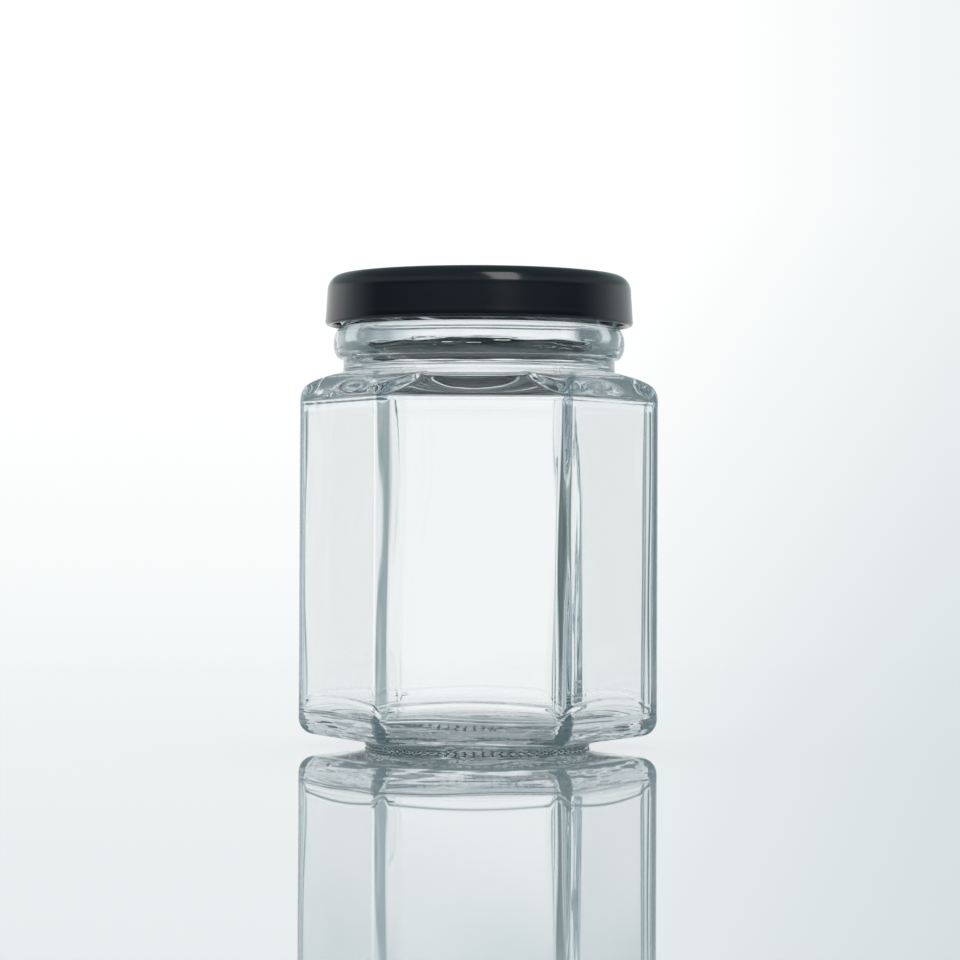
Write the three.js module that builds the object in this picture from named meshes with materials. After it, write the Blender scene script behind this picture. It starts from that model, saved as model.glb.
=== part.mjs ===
// A six-sided glass honey jar with its black twist-off lid on, in millimetres.
// +Z is up and z = 0 is the table. One flat side faces -Y, and two of the
// upright corners lie on the X axis.

import * as THREE from 'three';

// Body, outside
const FLAT_TO_AXIS = 30.95; // from the axis to the middle of a flat side
const CORNER_ROUND = 2.6;
const BODY_LOW = 5.4; // the straight side starts here
const BODY_HIGH = 67.8; // and ends here
const HEEL_FLOOR = 2.1; // underside of the heel, beside the foot
const HEEL_INSET = 2.9; // how far the heel rolls in before it turns under

// Foot and push-up
const FOOT_OUTER = 21.4;
const FOOT_INNER = 19.0;
const FOOT_ROLL = 0.9;
const PUSH_UP = 1.5; // rise of the base's underside inside the foot

// Shoulder and neck, outside. The two pull points shape the shoulder's curve
// at the upright corners, as radius and height.
const SHOULDER_PULLS = [[35.35, 71.2], [33.2, 72.0]];
const SHOULDER_TOP = 73.4;
const SHOULDER_RADIUS = 27.2; // where the shoulder meets the neck
const NECK_RADIUS = 26.75;
const NECK_FILLET = [26.87, 73.8]; // radius and height of a point in the small fillet below the neck
const NECK_LOW = 74.5;
const BEAD_LOW = 76.0;
const BEAD_HIGH = 82.1;
const BEAD_RADIUS = 28.7;
const BEAD_FULLNESS = 0.8; // under 1 makes the bead squarer than an ellipse
const FINISH_RADIUS = 27.05; // the plain wall inside the lid
const RIM_TOP = 91.1;
const RIM_ROUND = 0.8;
const BORE_RADIUS = 24.0;

// Inside of the glass
const WALL = 2.2;
const INNER_CORNER_ROUND = 5.5;
const FLOOR_LEVEL = 5.5;
const FLOOR_ROUND = 2.9;
const FLOOR_MIDDLE = 13; // radius of a ring drawn on the flat floor
const INNER_BODY_HIGH = 66.3;
const INNER_SHOULDER_PULLS = [[32.35, 69.2], [30.4, 70.2]];
const INNER_SHOULDER_TOP = 71.9;
const BORE_LOW = 73.1; // the straight bore starts here

// Screw ridges on the glass, each with a flat crest between two sloping flanks
const RIDGES = 4;
const RIDGE_RADIUS = 28.4;
const RIDGE_LOW = 83.6; // middle of a ridge at its lower end
const RIDGE_HIGH = 87.4; // and at its upper end
const RIDGE_SPAN = 78; // degrees
const RIDGE_FLANKS = [-1.2, 1.0]; // feet of the flanks, from the middle
const RIDGE_CREST = [-0.45, 0.35];
const RIDGE_SWELL = 1.6; // how soon a ridge is full, counted from its ends

// Lid
const LID_BOTTOM = 82.7;
const LID_TOP = 92.6;
const LID_RADIUS = 30.2;
const LID_SHEET = 0.45;
const LID_EDGE_IN = 2.9; // width of the rounded top edge
const LID_EDGE_DOWN = 2.3; // and its height
const PANEL_RADIUS = 22.6; // the middle of the lid lies a little lower
const PANEL_DROP = 0.35;
const PANEL_STEP = 0.9;
const CURL_RADIUS = 30.45;
const CURL_THICK = 1.5;
const SKIRT_LOW = 84.8; // the straight skirt ends here and the rolled rim starts
const CURL_TURNS = [165, 190, 230, 270, 305, 340, 375]; // degrees round the rolled rim
const LUG_REACH = 27.8; // how near the axis the lid's lugs come
const LUG_ROUND = 0.3; // how far a lug's upper and lower edges hang back from that
const LUG_HALF = 7; // degrees
const LUG_AT = 40; // degrees from the lower end of the ridge that it holds

// Seal ring in the lid
const SEAL_INNER = 23.4;
const SEAL_OUTER = 27.6;
const SEAL_LOW = 91.3;
const SEAL_HIGH = 91.95;

// Resolution: each sixth of a ring has CORNER_STEPS round the corner
// and FLAT_STEPS along the flat side.
const CORNER_STEPS = 4;
const FLAT_STEPS = 6;
const SIXTH = CORNER_STEPS + FLAT_STEPS;
const RING = 6 * SIXTH;
const SEAL_STEPS = 48;
const PUSH_UP_SHARES = [0.35, 0.7, 0.92]; // of the foot's inner radius
const FOOT_ROLL_TURNS = [40, 80]; // degrees
const UNDERSIDE_SHARES = [0.25, 0.6]; // of the way from the foot to the heel
const HEEL_STEPS = 6;
const SHOULDER_STEPS = 9;
const BEAD_STEPS = 8;
const RIM_STEPS = 3;
const INNER_SHOULDER_STEPS = 7;
const FLOOR_STEPS = 4;
const LID_EDGE_STEPS = 5;
const INNER_EDGE_STEPS = 3;

const DEG = Math.PI / 180;
const COS_30 = Math.cos(30 * DEG);

// Direction of point number i of a ring, in degrees from +X.
const bearing = (i) => ((i - CORNER_STEPS / 2) * 360) / RING;

// Point number i of a rounded hexagon about the axis.
function hexagonPoint(i, flatToAxis, corner) {
  const sixth = Math.floor(i / SIXTH);
  const step = i % SIXTH;
  const centre = (flatToAxis - corner) / COS_30;
  const arcPoint = (which, turn) => {
    const a = which * 60 * DEG;
    return [
      centre * Math.cos(a) + corner * Math.cos(a + turn * DEG),
      centre * Math.sin(a) + corner * Math.sin(a + turn * DEG),
    ];
  };
  if (step <= CORNER_STEPS) return arcPoint(sixth, -30 + (60 * step) / CORNER_STEPS);
  const [x0, y0] = arcPoint(sixth, 30);
  const [x1, y1] = arcPoint(sixth + 1, -30);
  const t = (step - CORNER_STEPS) / FLAT_STEPS;
  return [x0 + (x1 - x0) * t, y0 + (y1 - y0) * t];
}

// A round ring whose radius and height may change on the way round.
function wavy(at) {
  return Array.from({ length: RING }, (_, i) => {
    const [radius, z] = at(i);
    return [radius * Math.cos(bearing(i) * DEG), radius * Math.sin(bearing(i) * DEG), z];
  });
}

const round = (z, radius) => wavy(() => [radius, z]);

// A level ring between a circle (share 0) and a rounded hexagon (share 1).
function between(z, share, radius, flatToAxis, corner) {
  return round(z, radius).map(([cx, cy], i) => {
    const [hx, hy] = hexagonPoint(i, flatToAxis, corner);
    return [cx + (hx - cx) * share, cy + (hy - cy) * share, z];
  });
}

const hexagon = (z, flatToAxis, corner) => between(z, 1, flatToAxis, flatToAxis, corner);

// Closes a stack of rings into one body. The rings run from the axis at the
// underside, round the outside, and back to the axis.
function skin(rings, firstCentre, lastCentre) {
  const points = rings.flat();
  const faces = [];
  for (let k = 0; k + 1 < rings.length; k++) {
    for (let i = 0; i < RING; i++) {
      const a = k * RING + i;
      const b = k * RING + ((i + 1) % RING);
      faces.push(a, b, b + RING, a, b + RING, a + RING);
    }
  }
  const first = points.push(firstCentre) - 1;
  const last = points.push(lastCentre) - 1;
  const top = (rings.length - 1) * RING;
  for (let i = 0; i < RING; i++) {
    const j = (i + 1) % RING;
    faces.push(first, j, i, last, top + i, top + j);
  }
  const geometry = new THREE.BufferGeometry();
  geometry.setAttribute('position', new THREE.Float32BufferAttribute(points.flat(), 3));
  geometry.setIndex(faces);
  geometry.computeVertexNormals();
  return geometry;
}

function bezier(p, t) {
  const u = 1 - t;
  return [0, 1].map((n) =>
    u ** 3 * p[0][n] + 3 * u * u * t * p[1][n] + 3 * u * t * t * p[2][n] + t ** 3 * p[3][n]);
}

const quarter = (steps) =>
  Array.from({ length: steps + 1 }, (_, n) => (90 * DEG * n) / steps);

// Rings over a shoulder. Its curve is drawn at the upright corners, and the
// flat sides follow it in proportion.
function shoulder(low, pulls, top, neck, flatToAxis, corner, steps) {
  const reach = (flatToAxis - corner) / COS_30 + corner;
  const curve = [[reach, low], ...pulls, [neck, top]];
  return Array.from({ length: steps + 1 }, (_, n) => {
    const [radius, z] = bezier(curve, n / steps);
    return between(z, (radius - neck) / (reach - neck), neck, flatToAxis, corner);
  });
}

// Where a screw ridge is at a bearing: how full it is, and its height. Seen
// from above the ridges rise anticlockwise and fade out at both ends, and the
// gap leads back down to the next one.
function ridgeAt(degrees) {
  const pitch = 360 / RIDGES;
  const along = ((degrees % pitch) + pitch) % pitch;
  const rise = RIDGE_HIGH - RIDGE_LOW;
  if (along > RIDGE_SPAN) {
    return { full: 0, z: RIDGE_HIGH - (rise * (along - RIDGE_SPAN)) / (pitch - RIDGE_SPAN) };
  }
  const t = along / RIDGE_SPAN;
  return { full: Math.min(1, RIDGE_SWELL * Math.sin(Math.PI * t)), z: RIDGE_LOW + rise * t };
}

function ridgeRing(offset, height) {
  return wavy((i) => {
    const { full, z } = ridgeAt(bearing(i));
    return [FINISH_RADIUS + height * full, z + offset];
  });
}

// Whether two rings lie on each other, where one stretch ends and the next starts.
const same = (a, b) => a && a.every((p, i) => p.every((v, n) => Math.abs(v - b[i][n]) < 1e-6));

function jarRings() {
  const rings = [];

  // Push-up under the base, then the flat foot that the jar stands on
  for (const share of PUSH_UP_SHARES) {
    rings.push(round(PUSH_UP * (1 - share ** 3), FOOT_INNER * share));
  }
  rings.push(round(0, FOOT_INNER), round(0, FOOT_OUTER));
  for (const turn of FOOT_ROLL_TURNS) {
    const a = turn * DEG;
    rings.push(round(FOOT_ROLL * (1 - Math.cos(a)), FOOT_OUTER + FOOT_ROLL * Math.sin(a)));
  }

  // Underside, from the round foot out to the six-sided heel
  const heelFlat = FLAT_TO_AXIS - HEEL_INSET;
  for (const share of UNDERSIDE_SHARES) {
    const z = FOOT_ROLL + (HEEL_FLOOR - FOOT_ROLL) * Math.sin(90 * DEG * share);
    rings.push(between(z, share, FOOT_OUTER + FOOT_ROLL, heelFlat, CORNER_ROUND));
  }
  for (const a of quarter(HEEL_STEPS)) {
    const z = BODY_LOW - (BODY_LOW - HEEL_FLOOR) * Math.cos(a);
    rings.push(hexagon(z, heelFlat + HEEL_INSET * Math.sin(a), CORNER_ROUND));
  }

  // Straight side, shoulder and neck
  rings.push(...shoulder(BODY_HIGH, SHOULDER_PULLS, SHOULDER_TOP, SHOULDER_RADIUS,
    FLAT_TO_AXIS, CORNER_ROUND, SHOULDER_STEPS));
  const [filletRadius, filletHeight] = NECK_FILLET;
  rings.push(round(filletHeight, filletRadius), round(NECK_LOW, NECK_RADIUS));

  // Bead below the lid
  for (let n = 0; n <= BEAD_STEPS; n++) {
    const a = (-90 + (180 * n) / BEAD_STEPS) * DEG;
    const wall = n < BEAD_STEPS / 2 ? NECK_RADIUS : FINISH_RADIUS;
    rings.push(round(
      (BEAD_LOW + BEAD_HIGH) / 2 + ((BEAD_HIGH - BEAD_LOW) / 2) * Math.sin(a),
      wall + (BEAD_RADIUS - wall) * Math.cos(a) ** BEAD_FULLNESS,
    ));
  }

  // Screw ridges, rim and bore
  const crest = RIDGE_RADIUS - FINISH_RADIUS;
  rings.push(ridgeRing(RIDGE_FLANKS[0], 0), ridgeRing(RIDGE_CREST[0], crest));
  rings.push(ridgeRing(RIDGE_CREST[1], crest), ridgeRing(RIDGE_FLANKS[1], 0));
  for (const a of quarter(RIM_STEPS)) {
    rings.push(round(RIM_TOP - RIM_ROUND * (1 - Math.sin(a)),
      FINISH_RADIUS - RIM_ROUND * (1 - Math.cos(a))));
  }
  for (const a of quarter(RIM_STEPS)) {
    rings.push(round(RIM_TOP - RIM_ROUND * (1 - Math.cos(a)),
      BORE_RADIUS + RIM_ROUND * (1 - Math.sin(a))));
  }

  // Inside: bore, shoulder, wall and floor
  const innerFlat = FLAT_TO_AXIS - WALL;
  rings.push(round(BORE_LOW, BORE_RADIUS));
  rings.push(...shoulder(INNER_BODY_HIGH, INNER_SHOULDER_PULLS, INNER_SHOULDER_TOP, BORE_RADIUS,
    innerFlat, INNER_CORNER_ROUND, INNER_SHOULDER_STEPS).reverse());
  for (const a of quarter(FLOOR_STEPS)) {
    const z = FLOOR_LEVEL + FLOOR_ROUND * (1 - Math.sin(a));
    rings.push(hexagon(z, innerFlat - FLOOR_ROUND * (1 - Math.cos(a)), INNER_CORNER_ROUND));
  }
  rings.push(round(FLOOR_LEVEL, FLOOR_MIDDLE));
  return rings.filter((one, n) => !same(rings[n - 1], one));
}

// A ring of the lid. Where there is a lug, it comes in to the second radius.
function lidRing(radius, z, lugRadius = radius) {
  const pitch = 360 / RIDGES;
  return wavy((i) => {
    const off = ((bearing(i) - LUG_AT + 1.5 * pitch) % pitch) - pitch / 2;
    return [Math.abs(off) < LUG_HALF ? lugRadius : radius, z];
  });
}

// From under the panel out and down the inside, round the curl, then up the
// outside and over the top.
function lidRings() {
  const edge = (a, inset) => lidRing(
    LID_RADIUS - LID_EDGE_IN + (LID_EDGE_IN - inset) * Math.sin(a),
    LID_TOP - LID_EDGE_DOWN + (LID_EDGE_DOWN - inset) * Math.cos(a),
  );
  const panelTop = LID_TOP - PANEL_DROP;
  const rings = [
    lidRing(PANEL_RADIUS, panelTop - LID_SHEET),
    lidRing(PANEL_RADIUS + PANEL_STEP, LID_TOP - LID_SHEET),
    ...quarter(INNER_EDGE_STEPS).map((a) => edge(a, LID_SHEET)),
    lidRing(LID_RADIUS - LID_SHEET, SKIRT_LOW),
  ];
  const curl = CURL_THICK / 2;
  const middle = CURL_RADIUS - curl;
  const lugs = [LUG_REACH + LUG_ROUND, LUG_REACH, LUG_REACH + LUG_ROUND];
  CURL_TURNS.forEach((turn, n) => {
    const radius = middle + curl * Math.cos(turn * DEG);
    rings.push(lidRing(radius, LID_BOTTOM + curl + curl * Math.sin(turn * DEG), lugs[n] ?? radius));
  });
  rings.push(lidRing(LID_RADIUS, SKIRT_LOW));
  rings.push(...quarter(LID_EDGE_STEPS).reverse().map((a) => edge(a, 0)));
  rings.push(lidRing(PANEL_RADIUS + PANEL_STEP, LID_TOP), lidRing(PANEL_RADIUS, panelTop));
  return rings;
}

// A square-edged ring, turned about Y and then stood up on Z.
function sealRing() {
  const section = [
    [SEAL_INNER, SEAL_LOW], [SEAL_OUTER, SEAL_LOW], [SEAL_OUTER, SEAL_HIGH],
    [SEAL_INNER, SEAL_HIGH], [SEAL_INNER, SEAL_LOW],
  ];
  const outline = section.map(([radius, z]) => new THREE.Vector2(radius, z));
  return new THREE.LatheGeometry(outline, SEAL_STEPS).rotateX(90 * DEG);
}

function mesh(name, geometry, look) {
  const made = new THREE.Mesh(geometry, new THREE.MeshStandardMaterial(look));
  made.name = name;
  return made;
}

const jar = skin(jarRings(), [0, 0, PUSH_UP], [0, 0, FLOOR_LEVEL]);
const panel = LID_TOP - PANEL_DROP;
const lid = skin(lidRings(), [0, 0, panel - LID_SHEET], [0, 0, panel]);

const group = new THREE.Group();
group.add(
  mesh('jar', jar, {
    color: '#dfe9e8', roughness: 0.03, metalness: 0, transparent: true, opacity: 0.35,
  }),
  mesh('lid', lid, { color: '#1b222c', roughness: 0.32, metalness: 0.15 }),
  mesh('seal', sealRing(), { color: '#e9e6dc', roughness: 0.6, metalness: 0 }),
);

export default group;
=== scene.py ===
# %% [markdown]
# A six-sided honey jar of clear glass, empty, with its black twist-off lid on.
# Glass shows almost nothing of itself: what the eye reads is how its edges bend a
# pale room and its grey gaps. So the shape of the walls, inside and outside, and
# the room around the jar matter more here than any colour.

# %% The frame: the solids from model.glb, set in world space
import math

import bmesh
import bpy
import numpy as np
from mathutils import Euler, Matrix, Vector


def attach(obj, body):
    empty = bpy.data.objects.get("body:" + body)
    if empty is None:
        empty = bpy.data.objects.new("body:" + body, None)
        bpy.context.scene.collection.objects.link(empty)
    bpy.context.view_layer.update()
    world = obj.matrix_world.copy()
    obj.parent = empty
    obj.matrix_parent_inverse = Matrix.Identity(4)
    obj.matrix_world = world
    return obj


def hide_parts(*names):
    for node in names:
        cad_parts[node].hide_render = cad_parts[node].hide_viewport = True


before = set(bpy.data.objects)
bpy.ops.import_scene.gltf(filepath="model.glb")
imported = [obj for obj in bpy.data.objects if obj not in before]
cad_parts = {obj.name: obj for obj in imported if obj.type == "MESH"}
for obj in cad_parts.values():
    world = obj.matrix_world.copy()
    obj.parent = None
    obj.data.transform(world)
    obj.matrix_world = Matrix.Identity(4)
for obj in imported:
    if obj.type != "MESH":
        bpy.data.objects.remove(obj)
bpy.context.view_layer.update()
MM = 0.001

# %% [markdown]
# Every size below is in millimetres and is the real size of the jar. A ring round
# the jar is the base of all its shapes: a circle at the mouth and the foot, and a
# hexagon with rounded corners in between. Both are counted with the same points,
# so one can melt into the other, as the shoulder and the heel of the real jar do.

# %% Rings, round and six-sided
CORNER_STEPS = 28
FLAT_STEPS = 20
SIXTH = CORNER_STEPS + FLAT_STEPS
AROUND = 6 * SIXTH
COS_30 = math.cos(math.radians(30))
bearing = np.radians((np.arange(AROUND) - CORNER_STEPS / 2) * 360 / AROUND)


def circle(radius):
    return np.stack([radius * np.cos(bearing), radius * np.sin(bearing)], axis=1)


def hexagon(flats, roundings, tilts=0.0):
    """flats has how far each side is from the axis, the first one at 30 degrees,
    roundings the radius of each corner, the first one at +X, and tilts the degrees
    by which each side is turned. All go anticlockwise."""
    flats, roundings, tilts = (np.broadcast_to(np.asarray(v, float), 6)
                               for v in (flats, roundings, tilts))
    facing = np.radians(30 + 60 * np.arange(6) + tilts)
    outline = np.empty((AROUND, 2))

    def on_corner(which, share):
        before, after = (which - 1) % 6, which % 6
        r, b = roundings[after], facing[after]
        a = facing[before] - (math.tau if after == 0 else 0.0)
        outwards = np.array([[math.cos(a), math.sin(a)], [math.cos(b), math.sin(b)]])
        middle = np.linalg.solve(outwards, [flats[before] - r, flats[after] - r])
        turn = a + (b - a) * np.asarray(share)
        return middle + r * np.stack([np.cos(turn), np.sin(turn)], axis=-1)

    for which in range(6):
        start = which * SIXTH
        shares = np.linspace(0, 1, CORNER_STEPS + 1)
        outline[start:start + CORNER_STEPS + 1] = on_corner(which, shares)
        leave, arrive = on_corner(which, 1.0), on_corner(which + 1, 0.0)
        share = (np.arange(1, FLAT_STEPS) / FLAT_STEPS)[:, None]
        outline[start + CORNER_STEPS + 1:start + SIXTH] = leave + (arrive - leave) * share
    return outline


def ring(z, outline):
    return np.column_stack([outline, np.broadcast_to(z, AROUND)])


def between(z, share, radius, flats, roundings, tilts=0.0):
    low = circle(radius)
    return ring(z, low + (hexagon(flats, roundings, tilts) - low) * share)


print(AROUND, "points round the jar")

# %% [markdown]
# The outside of the jar comes from a smooth mould: flat sides, a rolled heel, a
# soft shoulder, and a plain neck with a thick bead under the lid. The shoulder is
# one curve drawn at the corners, and the flats follow it in proportion. A lathe
# would only give round jars, so the rings are stacked one by one.

# %% Outside of the glass, from the foot to the bead
FLAT_TO_AXIS, CORNER_ROUND = 30.95, 2.6
BODY_LOW, BODY_HIGH = 5.4, 67.8
HEEL_FLOOR, HEEL_INSET = 2.1, 2.9
FOOT_OUTER, FOOT_INNER, FOOT_ROLL = 21.4, 19.0, 0.9
FOOT_LIFT = 0.12  # the dots under the foot carry the jar
PUSH_UP = 1.5
SHOULDER_PULLS = [(35.35, 71.2), (33.2, 72.0)]
SHOULDER_TOP, SHOULDER_RADIUS = 73.4, 27.2
NECK_RADIUS, NECK_LOW = 26.75, 74.5
NECK_BLEND = ((73.6, 0.24), (73.9, 0.09), (74.2, 0.03))  # height, and how far past the neck
BEAD_LOW, BEAD_HIGH, BEAD_RADIUS = 76.0, 82.1, 28.7
FINISH_RADIUS = 27.05


def reach(flats, rounding):
    return (np.mean(flats) - rounding) / COS_30 + rounding


def bezier(points, t):
    p = np.asarray(points, float)
    u = 1 - t
    return u ** 3 * p[0] + 3 * u * u * t * p[1] + 3 * u * t * t * p[2] + t ** 3 * p[3]


def shoulder(low, pulls, top, neck, flats, roundings, steps, corner, tilts=0.0):
    far = reach(flats, corner)
    curve = [(far, low), *pulls, (neck, top)]
    made = []
    for t in np.linspace(0, 1, steps + 1):
        radius, z = bezier(curve, t)
        share = (radius - neck) / (far - neck)
        made.append(between(z, share, neck, flats, roundings, tilts))
    return made


def outside_rings():
    made = []
    for share in np.linspace(0.04, 0.97, 14):
        made.append(ring(FOOT_LIFT + PUSH_UP * (1 - share ** 3), circle(FOOT_INNER * share)))
    for radius in np.linspace(FOOT_INNER, FOOT_OUTER, 6):
        made.append(ring(FOOT_LIFT, circle(radius)))
    for a in np.radians([20, 40, 60, 80]):
        z = FOOT_LIFT + FOOT_ROLL * (1 - math.cos(a))
        made.append(ring(z, circle(FOOT_OUTER + FOOT_ROLL * math.sin(a))))
    heel_flat = FLAT_TO_AXIS - HEEL_INSET
    for share in np.linspace(0.08, 0.92, 10):
        z = FOOT_ROLL + (HEEL_FLOOR - FOOT_ROLL) * math.sin(share * math.pi / 2)
        made.append(between(z, share, FOOT_OUTER + FOOT_ROLL, heel_flat, CORNER_ROUND))
    for a in np.radians(np.linspace(0, 90, 15)):
        z = BODY_LOW - (BODY_LOW - HEEL_FLOOR) * math.cos(a)
        made.append(ring(z, hexagon(heel_flat + HEEL_INSET * math.sin(a), CORNER_ROUND)))
    for z in np.linspace(BODY_LOW, BODY_HIGH, 14)[1:-1]:
        made.append(ring(z, hexagon(FLAT_TO_AXIS, CORNER_ROUND)))
    made += shoulder(BODY_HIGH, SHOULDER_PULLS, SHOULDER_TOP, SHOULDER_RADIUS,
                     FLAT_TO_AXIS, CORNER_ROUND, 26, CORNER_ROUND)
    for z, extra in NECK_BLEND:
        made.append(ring(z, circle(NECK_RADIUS + extra)))
    made.append(ring(NECK_LOW, circle(NECK_RADIUS)))
    return made


print(len(outside_rings()), "rings up to the neck")

# %% [markdown]
# Above the neck sit the bead, four slanting screw ridges that the lid's lugs catch
# under, and the rounded rim. The ridges are a smooth swelling of the wall, strong
# in the middle of each and fading at its ends. They rise anticlockwise seen from
# above, so that the lid shuts clockwise.

# %% Bead, screw ridges and rim
RIM_TOP, RIM_ROUND, BORE_RADIUS = 91.1, 0.8, 24.0
RIDGES, RIDGE_RADIUS, RIDGE_SPAN = 4, 28.4, 78
RIDGE_LOW, RIDGE_HIGH, RIDGE_HALF = 83.6, 87.4, 1.15


def ridge_swelling(z):
    pitch = 360 / RIDGES
    along = (np.degrees(bearing) % pitch) / RIDGE_SPAN
    on = np.clip(along, 0, 1)
    middle = RIDGE_LOW + (RIDGE_HIGH - RIDGE_LOW) * on
    full = np.clip(1.6 * np.sin(np.pi * on), 0, 1)
    full = full * full * (3 - 2 * full)
    near = np.clip(1 - ((z - middle) / RIDGE_HALF) ** 2, 0, 1) ** 0.8
    return (RIDGE_RADIUS - FINISH_RADIUS) * full * near


def mouth_rings():
    made = []
    for a in np.radians(np.linspace(-90, 90, 33)):
        wall = NECK_RADIUS if a < 0 else FINISH_RADIUS
        z = (BEAD_LOW + BEAD_HIGH) / 2 + (BEAD_HIGH - BEAD_LOW) / 2 * math.sin(a)
        swell = (BEAD_RADIUS - wall) * max(math.cos(a), 0) ** 0.8
        made.append(ring(z, circle(wall + swell)))
    for z in np.linspace(BEAD_HIGH, RIM_TOP - RIM_ROUND, 34)[1:-1]:
        made.append(ring(z, circle(1.0) * (FINISH_RADIUS + ridge_swelling(z))[:, None]))
    for a in np.radians(np.linspace(0, 90, 8)):
        made.append(ring(RIM_TOP - RIM_ROUND * (1 - math.sin(a)),
                         circle(FINISH_RADIUS - RIM_ROUND * (1 - math.cos(a)))))
    for a in np.radians(np.linspace(0, 90, 8)):
        made.append(ring(RIM_TOP - RIM_ROUND * (1 - math.cos(a)),
                         circle(BORE_RADIUS + RIM_ROUND * (1 - math.sin(a)))))
    return made


print(len(mouth_rings()), "rings from the bead to the rim")

# %% [markdown]
# The inside isn't moulded. Air blows the hot glass out against the mould, so the
# inner wall wanders: thicker here, thinner there, each side turned by a trace and
# each corner rounded its own way. The glass also settles, which leaves a floor that
# arches up along each side and a faint wave just above it. All of that unevenness
# makes the wavy streaks at the corners and in the thick base, so it is in the shape.

# %% Inside of the glass
# Walls and tilts are of the side at 30 degrees, 90 and so on. A tilt is in degrees
# and makes a side thicker at one end.
WALLS = np.array([1.56, 2.17, 1.72, 2.01, 2.4, 2.41])
TILTS = np.array([0.0, -0.42, 1.04, 0.03, -0.37, -0.01])
# Roundings are of the corner at 0 degrees, 60 and so on, at the floor and the top
ROUNDS_LOW = np.array([9.7, 10.5, 1.25, 3.3, 2.15, 3.25])
ROUNDS_HIGH = np.array([8.25, 3.9, 3.4, 1.5, 3.2, 1.25])
FLOOR_LEVEL, FLOOR_ROUND, FLOOR_MIDDLE = 3.88, 3.12, 0.54
INNER_BODY_HIGH, INNER_SHOULDER_TOP = 66.94, 72.4
INNER_SHOULDER_PULLS = [(33.9, 68.43), (33.0, 68.03)]
INNER_SHOULDER_CORNER = 5.5  # one rounding for all corners sets the shoulder's curve
BORE_TOP, BORE_LOW = 90, 73.2
WANDER = 0.16
FLOOR_ARCH = 2.3  # how much further up the floor's roll reaches in the middle of each flat
WAVE_UP, WAVE_HALF, WAVE_DEEP = 0.8, 0.4, 0.09  # the settle wave, a faint ridge above the roll


def wander(z):
    slow = np.sin(2 * bearing + 0.6 + z / 31) + 0.7 * np.sin(3 * bearing - 1.1 - z / 19)
    quick = 0.5 * np.sin(7 * bearing + 0.4 + z / 9) + 0.35 * np.sin(11 * bearing + 2.0 - z / 7)
    return WANDER * (slow + quick) / 2


def inner_rounds(z):
    up = np.clip((z - FLOOR_LEVEL) / (INNER_BODY_HIGH - FLOOR_LEVEL), 0, 1)
    return ROUNDS_LOW + (ROUNDS_HIGH - ROUNDS_LOW) * up


def mid_flat():
    """1 in the middle of each flat side and 0 at each corner."""
    return (1 - np.cos(6 * bearing)) / 2


def blown(rows):
    """Moves rings of the inner wall in and out a little."""
    out = []
    for row in rows:
        z = float(row[:, 2].mean())
        moved = row.copy()
        moved[:, :2] *= (1 + wander(z) / 30)[:, None]
        out.append(moved)
    return out


def inside_rings():
    flats = FLAT_TO_AXIS - WALLS
    made = [ring(z, circle(BORE_RADIUS)) for z in np.linspace(BORE_TOP, BORE_LOW, 12)]
    made += shoulder(INNER_BODY_HIGH, INNER_SHOULDER_PULLS, INNER_SHOULDER_TOP, BORE_RADIUS,
                     flats, ROUNDS_HIGH, 24, INNER_SHOULDER_CORNER, TILTS)[::-1]
    roll = FLOOR_ROUND + FLOOR_ARCH * mid_flat()
    wall_height = INNER_BODY_HIGH - FLOOR_LEVEL - roll
    coarse = wall_height.mean() - np.linspace(0, wall_height.mean() - 2 * WAVE_UP, 32)[1:-1]
    for up in np.concatenate([coarse, np.linspace(2 * WAVE_UP, 0, 24)[:-1]]):
        z = FLOOR_LEVEL + roll + wall_height * up / wall_height.mean()
        wave = WAVE_DEEP * math.exp(-((up - WAVE_UP) / WAVE_HALF) ** 2)
        made.append(ring(z, hexagon(flats - wave, inner_rounds(z.mean()), TILTS)))
    for a in np.radians(np.linspace(0, 90, 18)):
        z = FLOOR_LEVEL + roll * (1 - math.sin(a))
        made.append(ring(z, hexagon(flats - FLOOR_ROUND * (1 - math.cos(a)), ROUNDS_LOW, TILTS)))
    last = made[-1]
    for share in np.linspace(0.92, 0.05, 16):
        row = last * share
        row[:, 2] = FLOOR_LEVEL + FLOOR_MIDDLE * (1 - share) ** 1.5
        made.append(row)
    return blown(made)


print(len(inside_rings()), "rings inside")

# %% [markdown]
# The rings are skinned into one closed body of glass, with a point on the axis at
# each end. Glass needs that: light is bent where it enters and again where it
# leaves, so both walls have to be there and smooth, with faces that point out of
# the glass.

# %% One closed skin


def skinned(name, rings, first_z, last_z):
    rows = np.array(rings)
    count = len(rows)
    points = np.vstack([rows.reshape(-1, 3), [(0, 0, first_z), (0, 0, last_z)]]) * MM
    k = np.arange(count - 1)[:, None] * AROUND
    i = np.arange(AROUND)[None, :]
    j = (i + 1) % AROUND
    quads = np.stack([k + i, k + j, k + AROUND + j, k + AROUND + i], axis=-1).reshape(-1, 4)
    first, last, top = count * AROUND, count * AROUND + 1, (count - 1) * AROUND
    faces = quads.tolist()
    faces += [(first, int(b), int(a)) for a, b in zip(i[0], j[0])]
    faces += [(last, int(top + a), int(top + b)) for a, b in zip(i[0], j[0])]
    mesh = bpy.data.meshes.new(name)
    mesh.from_pydata(points.tolist(), [], faces)
    mesh.validate()
    mesh.polygons.foreach_set("use_smooth", [True] * len(mesh.polygons))
    piece = bpy.data.objects.new(name, mesh)
    bpy.context.scene.collection.objects.link(piece)
    return piece


def volume_cm3(piece):
    body = bmesh.new()
    body.from_mesh(piece.data)
    volume = body.calc_volume(signed=True)
    body.free()
    return volume * 1e6


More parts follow.
